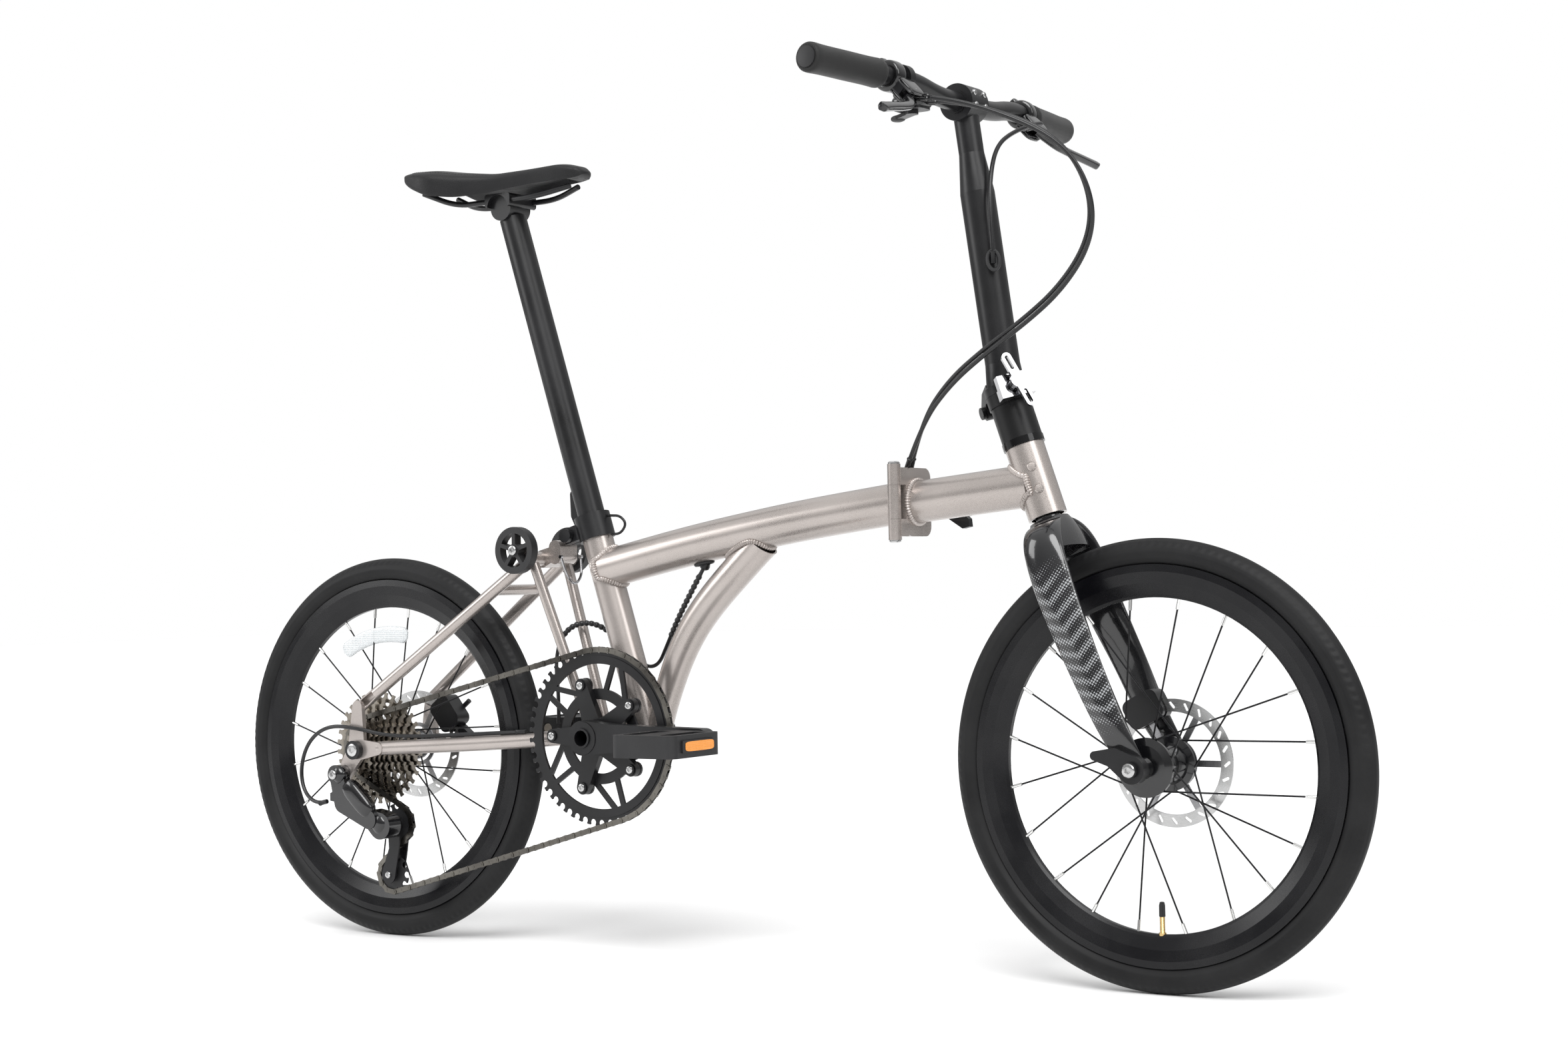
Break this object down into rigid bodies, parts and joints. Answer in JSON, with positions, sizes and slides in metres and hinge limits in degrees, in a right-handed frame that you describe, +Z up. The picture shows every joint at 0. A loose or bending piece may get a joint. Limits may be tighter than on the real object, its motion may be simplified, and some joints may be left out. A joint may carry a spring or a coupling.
{
  "type": "folding bicycle",
  "caption": "Small-wheeled folding bicycle with hinged main tube, folding handlepost, swinging rear triangle, disc brakes and derailleur gears.",
  "frame": {"origin": "on the ground, midway between the wheels, in the bicycle's middle plane", "axes": "+X towards the front wheel, +Y to the rider's left, +Z up"},
  "size_m": [1.577, 0.5898, 1.0114],
  "materials": {
    "champagne_paint": "satin metallic champagne paint",
    "black_satin": "black satin anodised aluminium",
    "black_gloss": "glossy black composite",
    "chain_steel": "grey steel",
    "rotor_steel": "brushed stainless steel",
    "spoke_steel": "dark steel",
    "chrome_part": "polished",
    "tyre": "black rubber",
    "foam_grip": "black foam",
    "saddle_cover": "black synthetic leather",
    "cable_black": "black housing",
    "matte_black": "black moulded plastic"
  },
  "bodies": {
    "frame": {"seat_tube": "champagne_paint", "main_tube": "champagne_paint", "arch_tube": "champagne_paint", "bb_shell": "champagne_paint", "main_hinge_rear": "champagne_paint", "seat_clamp": "black_satin", "chain": "chain_steel", "rear_cable": "cable_black"},
    "front_frame": {"main_hinge_front": "champagne_paint", "front_tube": "champagne_paint", "head_tube": "champagne_paint"},
    "main_hinge_lever": {"main_hinge_lever": "black_satin"},
    "fork": {"fork": "black_gloss", "front_axle": "black_satin", "steerer_collar": "black_satin", "front_caliper": "black_satin"},
    "front_wheel": {"front_tyre": "tyre", "front_rim": "black_satin", "front_hub": "black_satin", "front_spokes": "spoke_steel", "front_rotor": "rotor_steel"},
    "handlepost": {"handlepost": "black_satin", "handlebar": "black_satin", "grips": "foam_grip", "bar_controls": "black_satin", "front_brake_cable": "cable_black", "main_cables": "cable_black"},
    "post_lever": {"post_lever": "chrome_part"},
    "right_brake_lever": {"right_brake_lever": "black_satin"},
    "left_brake_lever": {"left_brake_lever": "black_satin"},
    "shift_lever": {"shift_lever": "black_satin"},
    "rear_triangle": {"right_chainstay": "champagne_paint", "left_chainstay": "champagne_paint", "right_seatstay": "champagne_paint", "left_seatstay": "champagne_paint", "rear_cross_members": "champagne_paint", "rear_axle": "black_satin", "rear_caliper": "black_satin", "derailleur": "black_gloss", "shift_cable": "cable_black"},
    "rear_wheel": {"rear_tyre": "tyre", "rear_rim": "black_satin", "rear_hub": "black_satin", "rear_spokes": "spoke_steel", "rear_rotor": "rotor_steel"},
    "cassette": {"cassette": "chain_steel"},
    "derailleur_cage": {"derailleur_cage": "black_satin"},
    "guide_pulley": {"guide_pulley": "matte_black"},
    "tension_pulley": {"tension_pulley": "matte_black"},
    "crankset": {"right_crank": "black_satin", "chainring": "black_satin", "left_crank": "black_satin", "pedal_axles": "chain_steel"},
    "right_pedal": {"right_pedal": "matte_black"},
    "left_pedal": {"left_pedal": "matte_black"},
    "seatpost": {"seatpost": "black_satin", "saddle": "saddle_cover"},
    "rollers": {"rollers": "matte_black"},
    "seat_clamp_lever": {"seat_clamp_lever": "black_satin"},
    "latch_bail": {"latch_bail": "chrome_part"}
  },
  "joints": [
    {"name": "main_fold", "type": "hinge", "parent": "frame", "child": "front_frame", "pos_m": [0.242, -0.036, 0.538], "axis": [0, 0, -1], "range_deg": [0, 130], "deforming": ["main_cables"]},
    {"name": "main_hinge_lever_swing", "type": "hinge", "parent": "front_frame", "child": "main_hinge_lever", "pos_m": [0.256, 0.042, 0.538], "axis": [0, 0, 1], "range_deg": [0, 110]},
    {"name": "steering", "type": "hinge", "parent": "front_frame", "child": "fork", "pos_m": [0.4035, 0, 0.55575], "axis": [-0.3256, 0, 0.9455], "range_deg": [-180, 180], "deforming": ["main_cables"]},
    {"name": "front_wheel_spin", "type": "hinge", "parent": "fork", "child": "front_wheel", "pos_m": [0.5435, 0, 0.245], "axis": [0, 1, 0], "continuous": true},
    {"name": "handlepost_fold", "type": "hinge", "parent": "fork", "child": "handlepost", "pos_m": [0.34752, 0.02546, 0.64012], "axis": [0.6686, 0.7071, 0.2302], "range_deg": [-172, 0], "deforming": ["main_cables"]},
    {"name": "post_clamp_screw", "type": "hinge", "parent": "fork", "child": "post_lever", "pos_m": [0.36899, 0, 0.65597], "axis": [0.6686, -0.7071, 0.2302], "continuous": true},
    {"name": "right_brake_pull", "type": "hinge", "parent": "handlepost", "child": "right_brake_lever", "pos_m": [0.33615, -0.14711, 0.97276], "axis": [-0.7431, 0, -0.6691], "range_deg": [0, 9], "stiffness_Nm_per_rad": 1.5},
    {"name": "left_brake_pull", "type": "hinge", "parent": "handlepost", "child": "left_brake_lever", "pos_m": [0.33615, 0.14711, 0.97276], "axis": [0.7431, 0, 0.6691], "range_deg": [0, 9], "stiffness_Nm_per_rad": 1.5},
    {"name": "shift_push", "type": "hinge", "parent": "handlepost", "child": "shift_lever", "pos_m": [0.31988, -0.11311, 0.96176], "axis": [0, 0, 1], "range_deg": [0, 25], "stiffness_Nm_per_rad": 0.6},
    {"name": "rear_swing", "type": "hinge", "parent": "frame", "child": "rear_triangle", "pos_m": [-0.209, 0, 0.27], "axis": [0, -1, 0], "range_deg": [0, 96], "deforming": ["chain", "rear_cable"]},
    {"name": "rear_wheel_spin", "type": "hinge", "parent": "rear_triangle", "child": "rear_wheel", "pos_m": [-0.5435, 0, 0.245], "axis": [0, 1, 0], "continuous": true},
    {"name": "crank_spin", "type": "hinge", "parent": "frame", "child": "crankset", "pos_m": [-0.172, 0, 0.267], "axis": [0, 1, 0], "continuous": true},
    {"name": "cassette_spin", "type": "hinge", "parent": "rear_triangle", "child": "cassette", "pos_m": [-0.5435, 0, 0.245], "axis": [0, 1, 0], "continuous": true},
    {"name": "cage_swing", "type": "hinge", "parent": "rear_triangle", "child": "derailleur_cage", "pos_m": [-0.497, 0, 0.15], "axis": [0, 1, 0], "range_deg": [-20, 25], "stiffness_Nm_per_rad": 0.5, "deforming": ["chain"]},
    {"name": "guide_pulley_spin", "type": "hinge", "parent": "derailleur_cage", "child": "guide_pulley", "pos_m": [-0.497, 0, 0.15], "axis": [0, 1, 0], "continuous": true},
    {"name": "tension_pulley_spin", "type": "hinge", "parent": "derailleur_cage", "child": "tension_pulley", "pos_m": [-0.508, 0, 0.085], "axis": [0, 1, 0], "continuous": true},
    {"name": "right_pedal_spin", "type": "hinge", "parent": "crankset", "child": "right_pedal", "pos_m": [-0.002, 0, 0.267], "axis": [0, 1, 0], "continuous": true},
    {"name": "left_pedal_spin", "type": "hinge", "parent": "crankset", "child": "left_pedal", "pos_m": [-0.342, 0, 0.267], "axis": [0, 1, 0], "continuous": true},
    {"name": "seatpost_slide", "type": "slide", "parent": "frame", "child": "seatpost", "axis": [-0.2924, 0, 0.9563], "range_m": [-0.28, 0.04]},
    {"name": "roller_spin", "type": "hinge", "parent": "rear_triangle", "child": "rollers", "pos_m": [-0.29, 0, 0.495], "axis": [0, 1, 0], "continuous": true},
    {"name": "seat_clamp_lever_swing", "type": "hinge", "parent": "frame", "child": "seat_clamp_lever", "pos_m": [-0.24134, 0, 0.51191], "axis": [0, 1, 0], "range_deg": [-75, 0]},
    {"name": "latch_bail_swing", "type": "hinge", "parent": "rear_triangle", "child": "latch_bail", "pos_m": [-0.248, 0, 0.486], "axis": [0, 1, 0], "range_deg": [-40, 0]}
  ],
  "couplings": [
    {"joint": "cassette_spin", "follows": "crank_spin", "ratio": 2.6},
    {"joint": "guide_pulley_spin", "follows": "crank_spin", "ratio": -4.7273},
    {"joint": "tension_pulley_spin", "follows": "crank_spin", "ratio": 4.7273}
  ]
}
